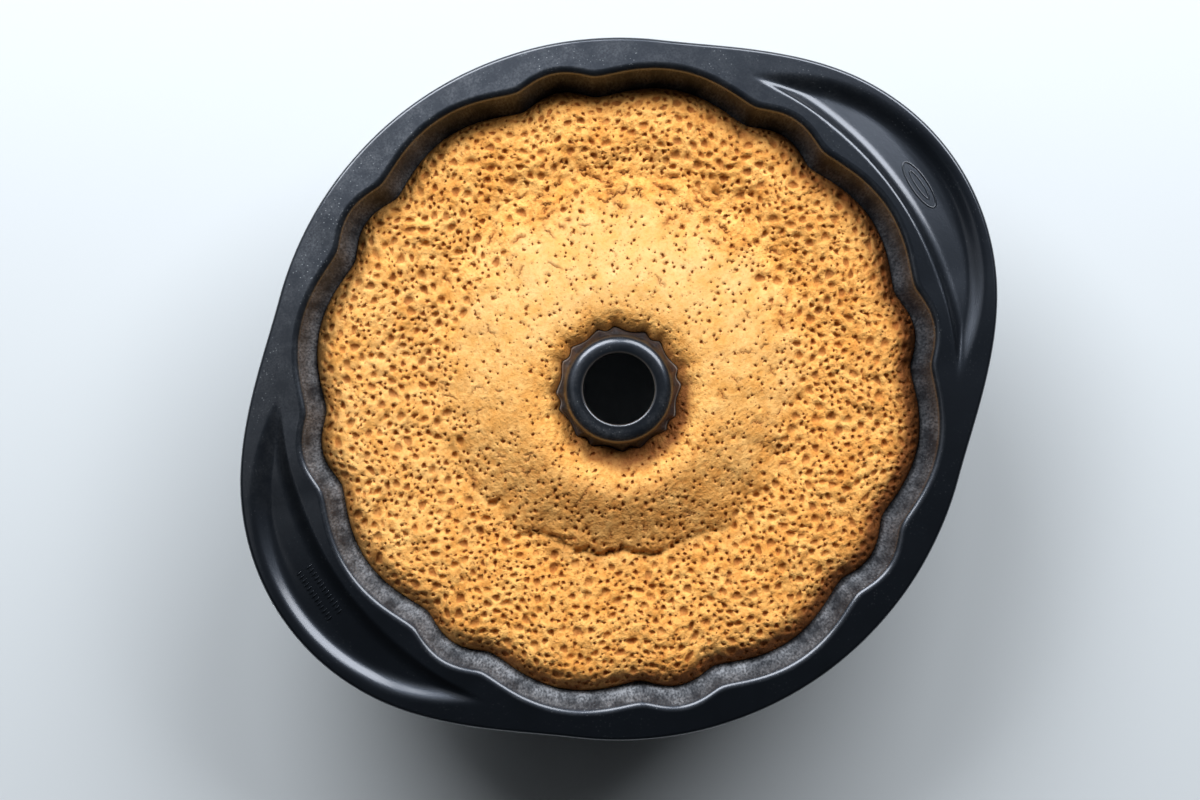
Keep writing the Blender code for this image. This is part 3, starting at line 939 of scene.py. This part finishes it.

# %% [markdown]
# ## Where the crust is pale, and where it is brown or shaded
#
# No oven bakes evenly, and the windows light one side more than the other. The dome's crust is
# painted palest to the north, which faces the windows, and the coarse ring paler to the west:
# painted light. Thin edges dry out first, so the rim of the cake and the collar round the tube are
# the darkest. They are browned, and then painted darker still with painted shade where the wall and
# the tube shade them, most of all to the south-east. The ring is painted a little darker to the
# east. The dome's south flank, which faces away from the windows, is a shade deeper: painted shade.
# Each is a soft step in the distance from the axis.

# %% Pale, brown and shaded places, with painted light and shade
coarse = crumb_share(disc_radius, theta)
# Painted light: the dome's smooth crust is made palest to the north, which faces the windows, and the
# coarse ring paler to the west.
pale_crust_and_painted_light = (1 - coarse) * (0.15 + 0.85 * near(theta, NORTH, 2.6))
pale_crust_and_painted_light *= smoothstep((disc_radius - 26 * MM) / (14 * MM))
pale_crust_and_painted_light += 0.4 * coarse * near(theta, WEST, 1.2)
# Painted shade over real browning: the outer band and the rim are darker to the east and south-east,
# where the wall shades them. The collar is darker and reaches further to the south-east and south, where
# the tube's shadow falls. The ring is darker to the east. The dome's south flank, which faces away from
# the windows, is darker too.
east_side = near(theta, EAST, 2.4)
south_east_side = near(theta, EAST - 0.8, 2.4)
collar_reach = (29 + 4 * south_east_side + 3 * near(theta, SOUTH, 1.3)) * MM
outer_band = (0.12 + 0.45 * east_side) * smoothstep((disc_radius - 104 * MM) / (12 * MM))
rim_of_cake = (0.45 + 0.75 * south_east_side) * smoothstep((disc_radius - 109 * MM) / (8 * MM))
collar = (0.8 + 0.5 * south_east_side) * smoothstep((collar_reach - disc_radius) / (6 * MM))
east_crumb = 0.15 * smoothstep((disc_radius - 76 * MM) / (30 * MM)) * east_side
south_flank = (1 - coarse) * near(theta, SOUTH, 1.7) * smoothstep((disc_radius - 34 * MM) / (8 * MM))
browning_and_painted_shade = outer_band + rim_of_cake + collar + east_crumb + 0.5 * south_flank
hidden = np.ones(len(side_points))
cake_values = {
    "painted_pore_shade": np.concatenate([laid[:, 3], 0 * hidden]),
    "pale_crust_and_painted_light": np.concatenate([pale_crust_and_painted_light, 0 * hidden]),
    "browning_and_painted_shade": np.concatenate([np.clip(browning_and_painted_shade, 0, 1.5), hidden]),
}
print("Browned by", round(float(browning_and_painted_shade.mean()), 2), "on average")

# %% [markdown]
# ## Finish of the cake: baked sponge crust
#
# Milk, sugar and egg brown as they bake. The dome's crust is a matt pale gold, laid on palest to
# the north as painted light, and the coarse ring a deeper yellow gold where crumb shows. The outer
# edge and the collar round the tube are the brown of caramel, deepened with painted shade. The dark
# brown inside the pores and cracks, in the crumb's hollows and in the pinholes is painted shade.
# Too much red makes a crust look orange, so every colour here keeps its green high. Grain, hollows
# and pinholes are bumps, on top of the pores that are cut into the mesh. A crust has almost no
# gloss: its roughness is about 0.8.

# %% Sponge crust
sponge_crust, tree, shader = start_material("baked_sponge_crust")
place = add(tree, "ShaderNodeTexCoord").outputs["Object"]
painted_pore_shade = add(tree, "ShaderNodeAttribute", attribute_name="painted_pore_shade").outputs["Fac"]
pale_crust_and_painted_light_fac = add(tree, "ShaderNodeAttribute", attribute_name="pale_crust_and_painted_light").outputs["Fac"]
browning_and_painted_shade_fac = add(tree, "ShaderNodeAttribute", attribute_name="browning_and_painted_shade").outputs["Fac"]

# Mottling of the crust, in patches about 10 mm across.
mottle = add(tree, "ShaderNodeTexNoise", {"Vector": place, "Scale": 100, "Detail": 5, "Roughness": 0.65})
mottle_share = add(tree, "ShaderNodeMapRange", {0: mottle.outputs["Fac"], 1: 0.35, 2: 0.65})
crust = add(
    tree,
    "ShaderNodeMix",
    {0: mottle_share.outputs[0], 6: linear("#DDA95C"), 7: linear("#EABD7C")},
    data_type="RGBA",
)
crumb = add(
    tree,
    "ShaderNodeMix",
    {0: mottle_share.outputs[0], 6: linear("#E29B46"), 7: linear("#F6BC69")},
    data_type="RGBA",
)
# The pale crust colour also stands in for painted light on the north of the dome and the west of the
# ring.
ground = add(
    tree,
    "ShaderNodeMix",
    {0: pale_crust_and_painted_light_fac, 6: crumb.outputs[2], 7: crust.outputs[2]},
    data_type="RGBA",
)
# Grain of the crust: flecks about 1.2 mm apart.
grain = add(tree, "ShaderNodeTexNoise", {"Vector": place, "Scale": 850, "Detail": 3, "Roughness": 0.6})
fleck = add(tree, "ShaderNodeMapRange", {0: grain.outputs["Fac"], 1: 0.5, 2: 0.72, 3: 0.0, 4: 0.45})
flecked = add(
    tree,
    "ShaderNodeMix",
    {0: fleck.outputs[0], 6: ground.outputs[2], 7: linear("#C4863F")},
    data_type="RGBA",
)
# Crumb: soft hollows about 2.5 mm apart that are browner than the lumps between them. The brown
# is painted shade, laid where the bump's height is lowest.
crumble = add(tree, "ShaderNodeTexNoise", {"Vector": place, "Scale": 400, "Detail": 3, "Roughness": 0.6})
hollow_shade = add(tree, "ShaderNodeMapRange", {0: crumble.outputs["Fac"], 1: 0.54, 2: 0.36, 3: 0.0, 4: 0.45})
coarseness = add(tree, "ShaderNodeMath", {0: 1.0, 1: pale_crust_and_painted_light_fac}, operation="SUBTRACT")
hollow_shade_amount = add(
    tree, "ShaderNodeMath", {0: hollow_shade.outputs[0], 1: coarseness.outputs[0]}, operation="MULTIPLY"
)
crumbly = add(
    tree,
    "ShaderNodeMix",
    {0: hollow_shade_amount.outputs[0], 6: flecked.outputs[2], 7: linear("#C0792F")},
    data_type="RGBA",
)
# Pinholes too small for the mesh, about 0.6 mm wide and 2.1 mm apart, drawn as dark dots of
# painted shade.
pinholes = add(tree, "ShaderNodeTexVoronoi", {"Vector": place, "Scale": 480, "Randomness": 1.0})
pinhole = add(
    tree, "ShaderNodeMapRange", {0: pinholes.outputs["Distance"], 1: 0.10, 2: 0.22, 3: 0.6, 4: 0.0}
)
pinholed = add(
    tree,
    "ShaderNodeMix",
    {0: pinhole.outputs[0], 6: crumbly.outputs[2], 7: linear("#8E5424")},
    data_type="RGBA",
)
# The brown of the edge and the collar, partly browning and partly painted shade, comes and goes
# in patches.
brown_share = add(
    tree, "ShaderNodeMapRange", {0: mottle.outputs["Fac"], 1: 0.25, 2: 0.7, 3: 1.0, 4: 0.55}
)
brown_and_shade_amount = add(
    tree, "ShaderNodeMath", {0: brown_share.outputs[0], 1: browning_and_painted_shade_fac}, operation="MULTIPLY"
)
browned_and_shaded = add(
    tree,
    "ShaderNodeMix",
    {0: brown_and_shade_amount.outputs[0], 6: pinholed.outputs[2], 7: linear("#7E4A1E")},
    data_type="RGBA",
)
# Painted shade: pores and cracks are painted caramel brown, darkest in their middles.
with_painted_pore_shade = add(
    tree,
    "ShaderNodeMix",
    {0: painted_pore_shade, 6: browned_and_shaded.outputs[2], 7: linear("#8A4A16")},
    data_type="RGBA",
)
tree.links.new(with_painted_pore_shade.outputs[2], shader.inputs["Base Color"])
shader.inputs["Roughness"].default_value = 0.8
shader.inputs["Specular IOR Level"].default_value = 0.3
pit = add(tree, "ShaderNodeMath", {0: pinhole.outputs[0], 1: -1.0}, operation="MULTIPLY")
lumpy_crumb = add(
    tree,
    "ShaderNodeBump",
    {"Height": crumble.outputs["Fac"], "Strength": coarseness.outputs[0], "Distance": 1.1 * MM},
)
roughness_of_crust = add(
    tree,
    "ShaderNodeBump",
    {
        "Height": grain.outputs["Fac"],
        "Normal": lumpy_crumb.outputs["Normal"],
        "Strength": 0.55,
        "Distance": 0.5 * MM,
    },
)
relief = add(
    tree,
    "ShaderNodeBump",
    {
        "Height": pit.outputs[0],
        "Normal": roughness_of_crust.outputs["Normal"],
        "Strength": 0.6,
        "Distance": 0.3 * MM,
    },
)
tree.links.new(relief.outputs["Normal"], shader.inputs["Normal"])
print("Sponge crust has", len(tree.nodes), "nodes")

# %% Make the cake
cake = make_piece("sponge_cake", cake_points, all_faces, sponge_crust, cake_values)
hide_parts("cake")

# %% [markdown]
# ## Table, light and camera
#
# The pan stands on a plain pale table. Two big soft lights are the windows beyond it, low enough to
# shade the far wall of the pan and throw a soft shadow this way. Each draws its own bright line on
# every bend of the coated steel. A weak third light is a white wall, and a dim even sky fills the
# shadows. The camera hangs straight above, turned so that the ears lie from lower left to upper
# right.

# %% Table and light
UP_IN_VIEW = math.radians(90 - 34.2)
TABLE_HALF = 2.0
LIGHT_DISTANCE = 1.5
WINDOW_ELEVATION = math.radians(41)
WALL_ELEVATION = math.radians(58)
WINDOW_WHITE = "#FBFCFF"
view_up = Vector((math.cos(UP_IN_VIEW), math.sin(UP_IN_VIEW), 0))
view_right = Vector((math.sin(UP_IN_VIEW), -math.cos(UP_IN_VIEW), 0))

table_paint, tree, shader = start_material("pale_painted_table")
shader.inputs["Base Color"].default_value = linear("#CDD4D8")
shader.inputs["Roughness"].default_value = 0.6
table_mesh = bpy.data.meshes.new("table")
corners = [(x * TABLE_HALF, y * TABLE_HALF, 0) for x, y in ((-1, -1), (1, -1), (1, 1), (-1, 1))]
table_mesh.from_pydata(corners, [], [(0, 1, 2, 3)])
table_mesh.materials.append(table_paint)
table = bpy.data.objects.new("table", table_mesh)
bpy.context.scene.collection.objects.link(table)


def area_light(name, towards, elevation, width, height, power, colour):
    """A wide soft light that faces the cake from that side and height."""
    data = bpy.data.lights.new(name, "AREA")
    data.shape = "RECTANGLE"
    data.size, data.size_y = width, height
    data.energy = power
    data.color = linear(colour)[:3]
    lamp = bpy.data.objects.new(name, data)
    level = towards.normalized() * math.cos(elevation) + Vector((0, 0, math.sin(elevation)))
    lamp.location = level * LIGHT_DISTANCE
    lamp.rotation_euler = level.to_track_quat("Z", "Y").to_euler()
    bpy.context.scene.collection.objects.link(lamp)
    return lamp


lamps = (
    area_light(
        "left_window", view_up - 0.55 * view_right, WINDOW_ELEVATION, 1.0, 0.7, 25, WINDOW_WHITE
    ),
    area_light(
        "right_window", view_up + 0.68 * view_right, WINDOW_ELEVATION, 1.1, 0.7, 23, WINDOW_WHITE
    ),
    area_light("white_wall", view_up * 0.6 - view_right, WALL_ELEVATION, 1.3, 1.0, 1.6, "#F2F4F8"),
)
sky = bpy.data.worlds.new("sky")
sky.use_nodes = True
sky.node_tree.nodes["Background"].inputs["Color"].default_value = linear("#F0F1F3")
sky.node_tree.nodes["Background"].inputs["Strength"].default_value = 0.015
bpy.context.scene.world = sky
bpy.context.scene.view_settings.view_transform = "Standard"
print("Lights at", [[round(v, 2) for v in lamp.location] for lamp in lamps])

# %% Camera
CAMERA_ABOVE_RIM = 900 * MM
WIDTH_AT_RIM = 465 * MM
RIGHT_SHIFT, UP_SHIFT = -7.3 * MM, -4.3 * MM
lens = bpy.data.cameras.new("overhead")
lens.sensor_width = 36
lens.lens = lens.sensor_width * CAMERA_ABOVE_RIM / WIDTH_AT_RIM
lens.clip_start = 0.01
overhead = bpy.data.objects.new("overhead", lens)
above = Vector((0, 0, PAN_HEIGHT + CAMERA_ABOVE_RIM))
overhead.location = view_right * RIGHT_SHIFT + view_up * UP_SHIFT + above
overhead.rotation_euler = (0, 0, UP_IN_VIEW - math.pi / 2)
bpy.context.scene.collection.objects.link(overhead)
bpy.context.scene.camera = overhead
print("Lens", round(lens.lens, 1), "mm, camera", round(overhead.location.z, 3), "m above the table")
